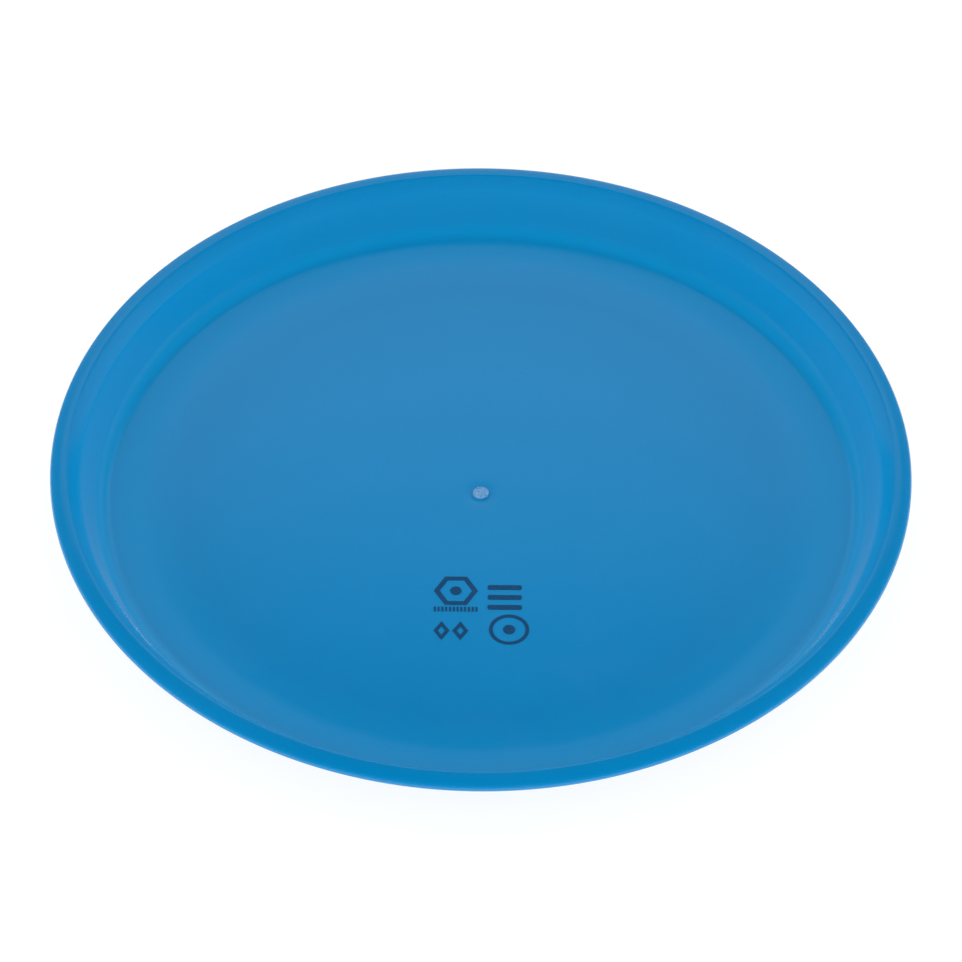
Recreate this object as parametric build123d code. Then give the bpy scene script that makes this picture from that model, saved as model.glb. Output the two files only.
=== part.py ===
"""Flying disc, lying open side up: one thin-walled moulding with five printed marks inside.

Units are millimetres and +Z is up. The origin is the centre of the flat outer face of the
flight plate, which the disc rests on. -Y points towards the printed marks.
"""
from build123d import *
import math
import os

# Driving dimensions of the moulding
outer_radius = 107.0       # over the lip
overall_height = 15.7      # plate face to the crest of the lip
wall = 2.0                 # plate and side wall
flat_radius = 84.0         # flat part of the plate
dish_slope = 2.0           # degrees, gentle rise of the plate outside its flat part
shoulder_radius = 5.0      # inner bend from the plate up to the side wall
wall_slope = 65.0          # degrees, side wall
crease = (99.9, 12.3)      # radius and height where the side wall meets the lip's inner slope
lip_corner_radius = 102.8  # where the inner slope would reach the top of the lip
lip_corner_fillet = 0.9    # rounds that corner
crest_radius = 103.3       # where the crown starts to fall outwards
crown_radius = 7.0         # crest of the lip down to its edge
edge_radius = 1.2          # rounded outer edge of the lip
lip_under_slope = 18.0     # degrees, underside of the lip
lip_root_radius = 1.5      # fillet where the lip leaves the side wall

# Gate stub at the middle of the plate's inner face
stub_radius = 2.05
stub_height = 0.9
stub_chamfer = 0.25
gate_dish_radius = 4.6     # shallow dish that the stub stands in
gate_dish_depth = 0.15

# Printed marks
ink = 0.08                 # thickness of the ink film
hexagon_centre = (-5.9, -33.0)
hexagon_width = 10.8       # corner to corner
hexagon_stroke = 1.2
hexagon_dot_radius = 1.4
ticks_centre = (-5.9, -39.1)
ticks_length = 10.7
tick_count = 12
tick_size = (0.5, 1.5)
bars_centre = (6.1, -35.1)
bar_size = (8.4, 1.5)
bar_count = 3
bar_pitch = 3.3
diamonds_centre = (-7.0, -46.2)
diamond_pitch = 4.6
diamond_size = (3.9, 6.1)
diamond_stroke = 0.9
ring_centre = (7.2, -45.7)
ring_radius = 4.9
ring_stroke = 0.9
ring_dot_radius = 1.5


def crossing(start, start_slope, end, end_slope):
    """Where two lines of the section meet, each given by a point on it and its slope in degrees."""
    rise_a = math.tan(math.radians(start_slope))
    rise_b = math.tan(math.radians(end_slope))
    radius = (end[1] - start[1] + rise_a * start[0] - rise_b * end[0]) / (rise_a - rise_b)
    return (radius, start[1] + rise_a * (radius - start[0]))


def lip_edge():
    """Points of the lip's rounded edge and of its crown, which are tangent to each other."""
    edge_r = outer_radius - edge_radius
    crown_tilt = math.asin((edge_r - crest_radius) / (crown_radius - edge_radius))
    edge_z = overall_height - crown_radius + (crown_radius - edge_radius) * math.cos(crown_tilt)
    under_tilt = math.radians(lip_under_slope)
    under_start = (edge_r + edge_radius * math.sin(under_tilt), edge_z - edge_radius * math.cos(under_tilt))
    crown_end = (edge_r + edge_radius * math.sin(crown_tilt), edge_z + edge_radius * math.cos(crown_tilt))
    crown_middle = (crest_radius + crown_radius * math.sin(crown_tilt / 2),
                    overall_height - crown_radius * (1 - math.cos(crown_tilt / 2)))
    return under_start, (outer_radius, edge_z), crown_end, crown_middle


def disc_profile():
    """Body of the moulding, revolved from its half section, without the gate stub."""
    under_start, edge_middle, crown_end, crown_middle = lip_edge()
    crest = (crest_radius, overall_height)
    lip_corner = (lip_corner_radius, overall_height)

    # Inner face, then the outer face: the same lines set off by the wall thickness
    inner_flat = (flat_radius, wall)
    inner_bend = crossing(inner_flat, dish_slope, crease, wall_slope)
    outer_flat = (flat_radius + wall * math.tan(math.radians(dish_slope / 2)), 0)
    outer_wall = (crease[0] + wall * math.sin(math.radians(wall_slope)),
                  crease[1] - wall * math.cos(math.radians(wall_slope)))
    outer_bend = crossing(outer_flat, dish_slope, outer_wall, wall_slope)
    root = crossing(under_start, lip_under_slope, outer_wall, wall_slope)

    with BuildPart() as blank:
        with BuildSketch(Plane.XZ) as section:
            with BuildLine():
                Polyline((0, 0), outer_flat, outer_bend, root, under_start)
                ThreePointArc(under_start, edge_middle, crown_end)
                ThreePointArc(crown_end, crown_middle, crest)
                Polyline(crest, lip_corner, crease, inner_bend, inner_flat, (0, wall), (0, 0))
            make_face()
            fillet(corner_near(section, lip_corner), lip_corner_fillet)
            fillet(corner_near(section, inner_bend), shoulder_radius)
            fillet(corner_near(section, outer_bend), shoulder_radius + wall)
            fillet(corner_near(section, root), lip_root_radius)
        revolve(axis=Axis.Z)
    return blank.part


def corner_near(sketch, place):
    """The vertex of the section, in its own plane, that lies at the given radius and height."""
    target = Vector(*place)
    return min(sketch.vertices(), key=lambda corner: (Vector(corner) - target).length)


def gate_dish():
    """Shallow lens cut out of the plate around the gate."""
    sphere_radius = (gate_dish_radius ** 2 + gate_dish_depth ** 2) / (2 * gate_dish_depth)
    return Pos(0, 0, wall - gate_dish_depth + sphere_radius) * Sphere(sphere_radius)


def gate_stub():
    """Trimmed gate, rooted in the middle of the plate."""
    full_height = wall / 2 + stub_height
    stub = Pos(0, 0, wall / 2) * extrude(Circle(stub_radius), full_height)
    return chamfer(stub.edges().sort_by(Axis.Z)[-1], stub_chamfer)


def moulded_disc():
    return disc_profile() - gate_dish() + gate_stub()


def printed(shape, centre):
    """A flat shape printed on the plate's inner face as a film of ink."""
    return extrude(Pos(centre[0], centre[1], wall) * shape, ink)


def print_hexagon():
    inner_width = hexagon_width - 2 * hexagon_stroke / math.cos(math.pi / 6)
    outline = RegularPolygon(hexagon_width / 2, 6) - RegularPolygon(inner_width / 2, 6)
    return printed(outline + Circle(hexagon_dot_radius), hexagon_centre)


def print_tick_row():
    pitch = (ticks_length - tick_size[0]) / (tick_count - 1)
    ticks = Sketch() + [place * Rectangle(*tick_size) for place in GridLocations(pitch, 0, tick_count, 1)]
    return printed(ticks, ticks_centre)


def print_bar_stack():
    bars = Sketch() + [place * RectangleRounded(*bar_size, bar_size[1] / 3)
                       for place in GridLocations(0, bar_pitch, 1, bar_count)]
    return printed(bars, bars_centre)


def diamond(width, height):
    return make_face(Polyline((width / 2, 0), (0, height / 2), (-width / 2, 0), (0, -height / 2), close=True))


def print_diamond_pair():
    width, height = diamond_size
    inset = 2 * diamond_stroke * math.hypot(width, height) / (width * height)
    outline = diamond(width, height) - diamond(width * (1 - inset), height * (1 - inset))
    pair = Sketch() + [place * outline for place in GridLocations(diamond_pitch, 0, 2, 1)]
    return printed(pair, diamonds_centre)


def print_ring():
    ring = Circle(ring_radius) - Circle(ring_radius - ring_stroke)
    return printed(ring + Circle(ring_dot_radius), ring_centre)


nodes = {
    "moulded_disc": moulded_disc(),
    "print_hexagon": print_hexagon(),
    "print_tick_row": print_tick_row(),
    "print_bar_stack": print_bar_stack(),
    "print_diamond_pair": print_diamond_pair(),
    "print_ring": print_ring(),
}

os.makedirs("parts", exist_ok=True)
for name, solid in nodes.items():
    export_step(solid, f"parts/{name}.step")
    print(name, "solids", len(solid.solids()), "volume", round(solid.volume, 3), "valid", solid.is_valid)
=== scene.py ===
import math

import bmesh
import bpy
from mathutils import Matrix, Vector, noise


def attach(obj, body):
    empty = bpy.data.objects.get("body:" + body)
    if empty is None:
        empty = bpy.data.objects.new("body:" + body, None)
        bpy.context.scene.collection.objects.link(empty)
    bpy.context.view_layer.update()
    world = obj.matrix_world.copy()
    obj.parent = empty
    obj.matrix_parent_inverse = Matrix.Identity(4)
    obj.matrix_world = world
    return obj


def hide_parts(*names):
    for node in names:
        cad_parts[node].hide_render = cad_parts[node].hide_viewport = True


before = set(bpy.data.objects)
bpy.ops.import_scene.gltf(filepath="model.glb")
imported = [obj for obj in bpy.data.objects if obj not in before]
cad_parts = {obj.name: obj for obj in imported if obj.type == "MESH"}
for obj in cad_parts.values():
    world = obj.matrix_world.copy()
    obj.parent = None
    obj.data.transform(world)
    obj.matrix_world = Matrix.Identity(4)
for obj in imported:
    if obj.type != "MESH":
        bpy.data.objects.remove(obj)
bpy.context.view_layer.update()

MM = 0.001

# The moulding's driving dimensions, in millimetres, as in the CAD
OUTER_R = 107.0
HEIGHT = 15.7
WALL = 2.0
FLAT_R = 84.0
DISH_SLOPE = math.radians(2.0)
SHOULDER_R = 5.0
WALL_SLOPE = math.radians(65.0)
CREASE = (99.9, 12.3)
LIP_CORNER_R = 102.8
LIP_CORNER_FILLET = 0.9
CREST_R = 103.3
CROWN_R = 7.0
EDGE_R = 1.2
UNDER_SLOPE = math.radians(18.0)
ROOT_R = 1.5
# The gate stub, and the rings of its torn top as shares of its radius
STUB_R = 2.05
STUB_H = 0.9
TORN_RINGS = (0.985, 0.95, 0.9, 0.84, 0.77, 0.69, 0.6, 0.5, 0.4, 0.3, 0.2, 0.1)
# The dish round it, shallower than the CAD's 0.15
GATE_DISH_R = 4.6
GATE_DISH_DEPTH = 0.05

# Blends that the CAD leaves out, and the sides of the turned mesh
CREASE_BLEND = 1.2
DISH_BLEND = 90.0
SEGMENTS = 576

# Where the painted light and shade by radius and the wall's finish change, as ranges of radius in metres, and
# by how much on the wall
BEND_PAINTED_LIGHT_FROM = (0.072, 0.090)
WALL_PAINTED_LIGHT_FROM = (0.094, 0.0975)
LIP_PAINTED_SHADE_FROM = (0.0995, 0.1030)
SHEEN_FROM = (0.0925, 0.0950)
SHEEN_TO = (0.0990, 0.1005)
WALL_SMOOTHER = 0.045
WALL_SHEEN = 0.12

# Camera: on the disc's -Y side, looking down at the middle of its lip
CAMERA_ELEVATION = math.radians(45.96)
CAMERA_DISTANCE = 1.2
CAMERA_ROLL = math.radians(-0.48)
LENS = 180.5
LIP_PLANE = 0.01377
CAMERA_SHIFT = (0.0, -0.0206)

# Table: half its width, its gap below the disc, how much light it returns and how much it gives
FLOOR_HALF_WIDTH = 3.0
FLOOR_GAP = 0.00002
FLOOR_ALBEDO = 0.25
FLOOR_GLOW = 0.81

# Light: the sky's strength at the horizon and how fast it falls towards the zenith
SKY_LIGHT = 3.3
SKY_POWER = 0.9

# Backdrop seen in the gloss: a panel behind the disc and a low band round it. Ranges are in degrees of
# elevation, or of azimuth away from straight behind the disc, from full strength to none
BACKDROP_R = 2.0
PANEL_GLOW = 0.60
PANEL_TOP = (44.3, 50.2)
PANEL_FOOT = (43.0, 34.0)
PANEL_FOOT_GLOW = 0.38
PANEL_SIDE = (12.0, 40.0)
LOW_GLOW = 0.22
LOW_TOP = (12.0, 44.0)
LOW_SIDE = (80.0, 125.0)


# ---------------------------------------------------------------- the moulding's section

def crossing(start, slope_a, end, slope_b):
    """Where two lines meet, each given by a point and the angle of its slope."""
    rise_a, rise_b = math.tan(slope_a), math.tan(slope_b)
    r = (end[1] - start[1] + rise_a * start[0] - rise_b * end[0]) / (rise_a - rise_b)
    return (r, start[1] + rise_a * (r - start[0]))


def unit(a, b):
    """Direction from a to b."""
    d = (b[0] - a[0], b[1] - a[1])
    n = math.hypot(*d)
    return (d[0] / n, d[1] / n)


def fillet(before, corner, after, radius, steps):
    """Points of the arc that rounds a corner, from the first tangent point to the second."""
    u, v = unit(corner, before), unit(corner, after)
    half = math.acos(max(-1.0, min(1.0, u[0] * v[0] + u[1] * v[1]))) / 2
    reach = radius / math.tan(half)
    m = unit((0, 0), (u[0] + v[0], u[1] + v[1]))
    centre = (corner[0] + m[0] * radius / math.sin(half), corner[1] + m[1] * radius / math.sin(half))
    a = (corner[0] + u[0] * reach, corner[1] + u[1] * reach)
    b = (corner[0] + v[0] * reach, corner[1] + v[1] * reach)
    start = math.atan2(a[1] - centre[1], a[0] - centre[0])
    turn = math.atan2(b[1] - centre[1], b[0] - centre[0]) - start
    turn = (turn + math.pi) % (2 * math.pi) - math.pi
    return [(centre[0] + radius * math.cos(start + turn * i / steps),
             centre[1] + radius * math.sin(start + turn * i / steps)) for i in range(steps + 1)]


def arc(centre, radius, start, end, steps):
    """Points of an arc, with its angles measured from +Z towards +R."""
    return [(centre[0] + radius * math.sin(start + (end - start) * i / steps),
             centre[1] + radius * math.cos(start + (end - start) * i / steps)) for i in range(steps + 1)]


def run(a, b, count):
    """Evenly spaced points strictly between a and b."""
    return [(a[0] + (b[0] - a[0]) * i / (count + 1), a[1] + (b[1] - a[1]) * i / (count + 1))
            for i in range(1, count + 1)]


def section():
    """The moulding's half section as (radius, height) in millimetres, from the middle of the
    plate's outer face, round the lip, to the edge of the gate dish on its inner face."""
    crest = (CREST_R, HEIGHT)
    lip_corner = (LIP_CORNER_R, HEIGHT)
    edge_r = OUTER_R - EDGE_R
    tilt = math.asin((edge_r - CREST_R) / (CROWN_R - EDGE_R))
    edge_z = HEIGHT - CROWN_R + (CROWN_R - EDGE_R) * math.cos(tilt)
    under = (edge_r + EDGE_R * math.sin(UNDER_SLOPE), edge_z - EDGE_R * math.cos(UNDER_SLOPE))

    inner_flat = (FLAT_R, WALL)
    inner_bend = crossing(inner_flat, DISH_SLOPE, CREASE, WALL_SLOPE)
    outer_flat = (FLAT_R + WALL * math.tan(DISH_SLOPE / 2), 0)
    outer_wall = (CREASE[0] + WALL * math.sin(WALL_SLOPE), CREASE[1] - WALL * math.cos(WALL_SLOPE))
    outer_bend = crossing(outer_flat, DISH_SLOPE, outer_wall, WALL_SLOPE)
    root = crossing(under, UNDER_SLOPE, outer_wall, WALL_SLOPE)

    points = [(r, 0.0) for r in (6, 14, 24, 36, 48, 60, 70, 76)]
    points += fillet((0, 0), outer_flat, outer_bend, DISH_BLEND, 6)
    points += fillet(outer_flat, outer_bend, root, SHOULDER_R + WALL, 16)
    last = points[-1]
    corner = fillet(outer_bend, root, under, ROOT_R, 8)
    points += run(last, corner[0], 3) + corner
    points += arc((edge_r, edge_z), EDGE_R, math.pi - UNDER_SLOPE, tilt, 18)
    points += arc((CREST_R, HEIGHT - CROWN_R), CROWN_R, tilt, 0, 14)[1:]
    points += fillet(crest, lip_corner, CREASE, LIP_CORNER_FILLET, 10)
    last = points[-1]
    soft = fillet(lip_corner, CREASE, inner_bend, CREASE_BLEND, 4)
    points += run(last, soft[0], 2) + soft
    last = points[-1]
    bend = fillet(CREASE, inner_bend, inner_flat, SHOULDER_R, 20)
    points += run(last, bend[0], 4) + bend
    points += fillet(inner_bend, inner_flat, (0, WALL), DISH_BLEND, 8)
    points += [(r, WALL) for r in (76, 68, 60, 50, 40, 30, 22, 15, 10, 7)]
    return points


def gate_section():
    """The inner face from the edge of the gate dish to the foot of the stub."""
    sphere = (GATE_DISH_R ** 2 + GATE_DISH_DEPTH ** 2) / (2 * GATE_DISH_DEPTH)
    floor = WALL - GATE_DISH_DEPTH + sphere
    points = [(GATE_DISH_R + 0.6, WALL), (GATE_DISH_R + 0.15, WALL - 0.002)]
    for r in (4.4, 4.0, 3.5, 3.0, 2.7, 2.45):
        points.append((r, floor - math.sqrt(sphere ** 2 - r ** 2)))
    return points


def bridge(bm, low, high):
    """Joins two rings of the same count with quads."""
    for i in range(SEGMENTS):
        j = (i + 1) % SEGMENTS
        bm.faces.new((low[i], low[j], high[j], high[i]))


def lathe(points):
    """A surface of revolution from section points, still open on the axis at both ends."""
    bm = bmesh.new()
    rings = []
    for r, z in points:
        rings.append([bm.verts.new((MM * r * math.cos(2 * math.pi * i / SEGMENTS),
                                    MM * r * math.sin(2 * math.pi * i / SEGMENTS), MM * z))
                      for i in range(SEGMENTS)])
    for low, high in zip(rings, rings[1:]):
        bridge(bm, low, high)
    return bm, rings


def cap(bm, ring, z):
    """Fans a ring to one vertex on the axis."""
    middle = bm.verts.new((0, 0, MM * z))
    for i in range(SEGMENTS):
        bm.faces.new((ring[i], middle, ring[(i + 1) % SEGMENTS]))


def finish_mesh(bm, name, material):
    """Turns the mesh into a smooth-shaded object of one material."""
    bmesh.ops.recalc_face_normals(bm, faces=bm.faces)
    mesh = bpy.data.meshes.new(name)
    bm.to_mesh(mesh)
    bm.free()
    for face in mesh.polygons:
        face.use_smooth = True
    mesh.materials.append(material)
    piece = bpy.data.objects.new(name, mesh)
    bpy.context.scene.collection.objects.link(piece)
    return piece


def torn_top(x, y):
    """Height of the snapped-off stub in millimetres: a raised middle with torn ridges and pits."""
    p = Vector((x * 1.1, y * 1.1, 3.7))
    rough = noise.fractal(p, 0.9, 2.1, 4) * 0.16
    ridge = (1 - abs(noise.noise(Vector((x * 0.9 + 8, y * 0.9 - 3, 1.3))))) ** 3 * 0.18
    r = math.hypot(x, y) / STUB_R
    return 0.56 + rough + ridge - 0.22 * r ** 3 + 0.06 * x / STUB_R


def make_disc(material):
    """The whole moulding as one mesh that stands for the CAD node, with its gate stub torn off."""
    points = section() + gate_section()
    # Foot of the stub: a small fillet up to its slightly tapered side
    foot = WALL - GATE_DISH_DEPTH + 0.015
    points += [(2.28, foot + 0.02), (2.17, foot + 0.08), (2.12, foot + 0.18), (2.08, foot + 0.36)]
    bm, rings = lathe(points)
    cap(bm, rings[0], 0.0)
    # The torn top: rings that close in on the axis, each vertex at its own height
    low = rings[-1]
    for share in TORN_RINGS:
        ring = []
        for i in range(SEGMENTS):
            a = 2 * math.pi * i / SEGMENTS
            wobble = 1 + 0.03 * noise.noise(Vector((math.cos(a) * 2, math.sin(a) * 2, share)))
            x, y = STUB_R * share * wobble * math.cos(a), STUB_R * share * wobble * math.sin(a)
            ring.append(bm.verts.new((MM * x, MM * y, MM * min(WALL + torn_top(x, y), WALL + STUB_H))))
        bridge(bm, low, ring)
        low = ring
    cap(bm, low, WALL + torn_top(0, 0))
    return finish_mesh(bm, "disc_shell", material)


# ---------------------------------------------------------------- materials

def new_material(name):
    """A material with one Principled shader, and that shader."""
    material = bpy.data.materials.new(name)
    material.use_nodes = True
    nodes = material.node_tree.nodes
    nodes.clear()
    output = nodes.new("ShaderNodeOutputMaterial")
    shader = nodes.new("ShaderNodeBsdfPrincipled")
    material.node_tree.links.new(shader.outputs[0], output.inputs[0])
    return material, shader


class Nodes:
    """Short ways to add and join nodes of one material or world."""

    def __init__(self, material):
        self.tree = material.node_tree

    def add(self, kind, **values):
        node = self.tree.nodes.new("ShaderNode" + kind)
        for key, value in values.items():
            setattr(node, key, value)
        return node

    def join(self, source, target):
        self.tree.links.new(source, target)

    def maths(self, operation, a, b=None):
        node = self.add("Math", operation=operation)
        for i, value in enumerate((a, b)):
            if value is None:
                continue
            if isinstance(value, (int, float)):
                node.inputs[i].default_value = value
            else:
                self.join(value, node.inputs[i])
        return node.outputs[0]

    def noise(self, place, scale, detail=3.0, rough=0.5):
        node = self.add("TexNoise")
        node.inputs["Scale"].default_value = scale
        node.inputs["Detail"].default_value = detail
        node.inputs["Roughness"].default_value = rough
        self.join(place, node.inputs["Vector"])
        return node.outputs["Fac"]

    def range(self, value, a, b, lo=0.0, hi=1.0):
        """Goes smoothly from lo to hi while value goes from a to b."""
        node = self.add("MapRange")
        node.interpolation_type = "SMOOTHSTEP"
        for key, v in (("From Min", a), ("From Max", b), ("To Min", lo), ("To Max", hi)):
            node.inputs[key].default_value = v
        self.join(value, node.inputs["Value"])
        return node.outputs[0]

    def blend(self, factor, a, b):
        node = self.add("Mix", data_type="RGBA")
        for socket, value in ((0, factor), (6, a), (7, b)):
            if isinstance(value, (tuple, list)):
                node.inputs[socket].default_value = (*value, 1)
            elif isinstance(value, (int, float)):
                node.inputs[socket].default_value = value
            else:
                self.join(value, node.inputs[socket])
        return node.outputs[2]


def plastic():
    """Satin blue polypropylene, a little translucent, with painted light and shade by radius: lighter in the
    bend and on the wall, darker on the lip.
    """
    material, shader = new_material("blue_polypropylene")
    n = Nodes(material)
    place = n.add("TexCoord").outputs["Object"]
    split = n.add("SeparateXYZ")
    n.join(place, split.inputs[0])
    x, y, z = split.outputs
    radius = n.maths("SQRT", n.maths("ADD", n.maths("MULTIPLY", x, x), n.maths("MULTIPLY", y, y)))

    # Painted light and shade by radius. The bend is made lighter to stand in for light through the plastic
    # and to lift the shade of the concave bend. The wall is a little lighter and the lip darker, painted to
    # match how each is lit.
    plate = (0.0020, 0.200, 0.460)
    bend = (0.0020, 0.248, 0.545)
    wall = (0.0010, 0.212, 0.480)
    lip = (0.0006, 0.182, 0.425)
    base = n.blend(n.range(radius, *BEND_PAINTED_LIGHT_FROM), plate, bend)
    base = n.blend(n.range(radius, *WALL_PAINTED_LIGHT_FROM), base, wall)
    base = n.blend(n.range(radius, *LIP_PAINTED_SHADE_FROM), base, lip)

    # Broad cloudy variation of the pigment and fine specks of it
    cloud = n.noise(place, 18.0, 4.0, 0.6)
    base = n.blend(n.range(cloud, 0.35, 0.7, 0.0, 0.10), base, (0.006, 0.230, 0.50))
    speck = n.noise(place, 2600.0, 2.0, 0.5)
    base = n.blend(n.range(speck, 0.62, 0.78, 0.0, 0.25), base, (0.03, 0.30, 0.60))

    # The snapped stub: paler where the plastic was stretched
    on_stub = n.maths("MULTIPLY", n.range(radius, 0.00185, 0.00215, 1.0, 0.0), n.range(z, 0.00212, 0.0023))
    fray = n.noise(place, 1500.0, 4.0, 0.7)
    torn = n.blend(n.range(fray, 0.38, 0.62), (0.07, 0.25, 0.50), (0.17, 0.36, 0.62))
    base = n.blend(on_stub, base, torn)
    n.join(base, shader.inputs["Base Color"])

    # Fine mould texture and a few soft scuffs
    grain = n.noise(place, 5200.0, 3.0, 0.6)
    scuff = n.noise(place, 45.0, 5.0, 0.62)
    rough = n.maths("ADD", n.range(scuff, 0.45, 0.75, 0.11, 0.15), n.range(grain, 0.3, 0.7, 0.0, 0.02))
    rough = n.maths("MAXIMUM", rough, n.maths("MULTIPLY", on_stub, 0.6))
    # The side wall is drawn smooth but dusty with fine wear, which shows at a grazing look
    on_wall = n.maths("MULTIPLY", n.range(radius, *SHEEN_FROM), n.range(radius, *SHEEN_TO, 1.0, 0.0))
    rough = n.maths("SUBTRACT", rough, n.maths("MULTIPLY", on_wall, WALL_SMOOTHER))
    n.join(rough, shader.inputs["Roughness"])
    n.join(n.maths("MULTIPLY", on_wall, WALL_SHEEN), shader.inputs["Sheen Weight"])
    shader.inputs["Sheen Roughness"].default_value = 0.45
    bump = n.add("Bump")
    bump.inputs["Strength"].default_value = 0.12
    bump.inputs["Distance"].default_value = 0.00003
    n.join(grain, bump.inputs["Height"])
    n.join(bump.outputs[0], shader.inputs["Normal"])

    shader.inputs["IOR"].default_value = 1.49
    shader.inputs["Specular IOR Level"].default_value = 0.5
    shader.inputs["Subsurface Weight"].default_value = 0.12
    shader.inputs["Subsurface Radius"].default_value = (0.3, 0.8, 1.0)
    shader.inputs["Subsurface Scale"].default_value = 0.0015
    return material


def ink():
    """Pad-printed ink: matt dark navy, thinner in small patches."""
    material, shader = new_material("navy_ink")
    n = Nodes(material)
    place = n.add("TexCoord").outputs["Object"]
    patch = n.noise(place, 2200.0, 4.0, 0.6)
    worn = n.noise(place, 420.0, 3.0, 0.6)
    base = n.blend(n.range(patch, 0.42, 0.75, 0.0, 0.55), (0.004, 0.050, 0.138), (0.006, 0.078, 0.20))
    base = n.blend(n.range(worn, 0.55, 0.8, 0.0, 0.4), base, (0.006, 0.095, 0.24))
    n.join(base, shader.inputs["Base Color"])
    n.join(n.range(patch, 0.3, 0.7, 0.3, 0.42), shader.inputs["Roughness"])
    bump = n.add("Bump")
    bump.inputs["Strength"].default_value = 0.3
    bump.inputs["Distance"].default_value = 0.00002
    n.join(patch, bump.inputs["Height"])
    n.join(bump.outputs[0], shader.inputs["Normal"])
    shader.inputs["Specular IOR Level"].default_value = 0.12
    return material


# ---------------------------------------------------------------- studio

def make_floor():
    """White table, far larger than the view, glowing like a light table."""
    bm = bmesh.new()
    bmesh.ops.create_grid(bm, x_segments=4, y_segments=4, size=FLOOR_HALF_WIDTH)
    mesh = bpy.data.meshes.new("floor")
    bm.to_mesh(mesh)
    bm.free()
    floor = bpy.data.objects.new("floor", mesh)
    bpy.context.scene.collection.objects.link(floor)
    floor.location.z = -FLOOR_GAP
    material, shader = new_material("white_table")
    shader.inputs["Base Color"].default_value = (FLOOR_ALBEDO, FLOOR_ALBEDO, FLOOR_ALBEDO, 1)
    shader.inputs["Roughness"].default_value = 0.9
    shader.inputs["Specular IOR Level"].default_value = 0.0
    shader.inputs["Emission Color"].default_value = (1, 1, 1, 1)
    shader.inputs["Emission Strength"].default_value = FLOOR_GLOW
    mesh.materials.append(material)


def make_world():
    """Even white light that is a little stronger from low down, so that walls and plate are lit alike."""
    world = bpy.data.worlds.new("studio")
    bpy.context.scene.world = world
    world.use_nodes = True
    tree = world.node_tree
    tree.nodes.clear()
    n = Nodes(world)
    split = n.add("SeparateXYZ")
    n.join(n.add("TexCoord").outputs["Generated"], split.inputs[0])
    down = n.maths("SUBTRACT", 1.0, n.maths("MAXIMUM", split.outputs[2], 0.0))
    sky = n.add("Background")
    sky.inputs[0].default_value = (1, 1, 1, 1)
    n.join(n.maths("MULTIPLY", n.maths("POWER", down, SKY_POWER), SKY_LIGHT), sky.inputs[1])
    out = n.add("OutputWorld")
    n.join(sky.outputs[0], out.inputs[0])
    # What the gloss of the plastic shows comes from the backdrop alone. Sampling the sky as a light would
    # still add it to the gloss, so it is only met by rays that happen to leave the scene
    world.cycles_visibility.glossy = False
    world.cycles.sampling_method = "NONE"


def make_backdrop():
    """Glowing backdrop round the disc that only shows as a sheen on its gloss: bright behind the disc up to
    half height, dim at the sides, dark in front and overhead."""
    bm = bmesh.new()
    bmesh.ops.create_uvsphere(bm, u_segments=64, v_segments=32, radius=BACKDROP_R)
    mesh = bpy.data.meshes.new("backdrop")
    bm.to_mesh(mesh)
    bm.free()
    backdrop = bpy.data.objects.new("backdrop", mesh)
    bpy.context.scene.collection.objects.link(backdrop)

    material = bpy.data.materials.new("backdrop_glow")
    material.use_nodes = True
    material.node_tree.nodes.clear()
    n = Nodes(material)
    toward = n.add("VectorMath", operation="NORMALIZE")
    n.join(n.add("TexCoord").outputs["Object"], toward.inputs[0])
    split = n.add("SeparateXYZ")
    n.join(toward.outputs[0], split.inputs[0])
    x, y, z = split.outputs
    elevation = n.maths("ARCSINE", z)
    azimuth = n.maths("ARCTAN2", n.maths("ABSOLUTE", x), y)

    def fade(angle, ends, full=1.0, least=0.0):
        return n.range(angle, math.radians(ends[0]), math.radians(ends[1]), full, least)

    panel = n.maths("MULTIPLY", fade(elevation, PANEL_TOP),
                    fade(elevation, PANEL_FOOT, PANEL_GLOW, PANEL_FOOT_GLOW))
    panel = n.maths("MULTIPLY", panel, fade(azimuth, PANEL_SIDE))
    low = n.maths("MULTIPLY", fade(elevation, LOW_TOP), fade(azimuth, LOW_SIDE, LOW_GLOW))
    glow = n.maths("MAXIMUM", panel, low)
    light = n.add("Emission")
    light.inputs[0].default_value = (1, 1, 1, 1)
    n.join(glow, light.inputs[1])
    out = n.add("OutputMaterial")
    n.join(light.outputs[0], out.inputs[0])
    mesh.materials.append(material)
    material.cycles.emission_sampling = "NONE"
    for ray in ("camera", "diffuse", "transmission", "shadow", "volume_scatter"):
        setattr(backdrop, "visible_" + ray, False)


def make_camera():
    """Looks from CAMERA_DISTANCE at the middle of the lip's plane, which a small shift moves up the frame."""
    target = Vector((0, 0, LIP_PLANE))
    away = Vector((0, -math.cos(CAMERA_ELEVATION), math.sin(CAMERA_ELEVATION)))
    data = bpy.data.cameras.new("camera")
    data.lens = LENS
    data.sensor_width = 36.0
    data.shift_x, data.shift_y = CAMERA_SHIFT
    camera = bpy.data.objects.new("camera", data)
    bpy.context.scene.collection.objects.link(camera)
    camera.location = target + CAMERA_DISTANCE * away
    camera.rotation_euler = (math.pi / 2 - CAMERA_ELEVATION, 0, 0)
    camera.rotation_euler.rotate_axis("Z", -CAMERA_ROLL)
    bpy.context.scene.camera = camera


# ---------------------------------------------------------------- assembly

blue = plastic()
navy = ink()
disc = make_disc(blue)
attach(disc, "root")
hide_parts("moulded_disc")
for name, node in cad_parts.items():
    if name.startswith("print_"):
        node.data.materials.clear()
        node.data.materials.append(navy)

make_floor()
make_world()
make_backdrop()
make_camera()
bpy.context.scene.view_settings.view_transform = "Standard"
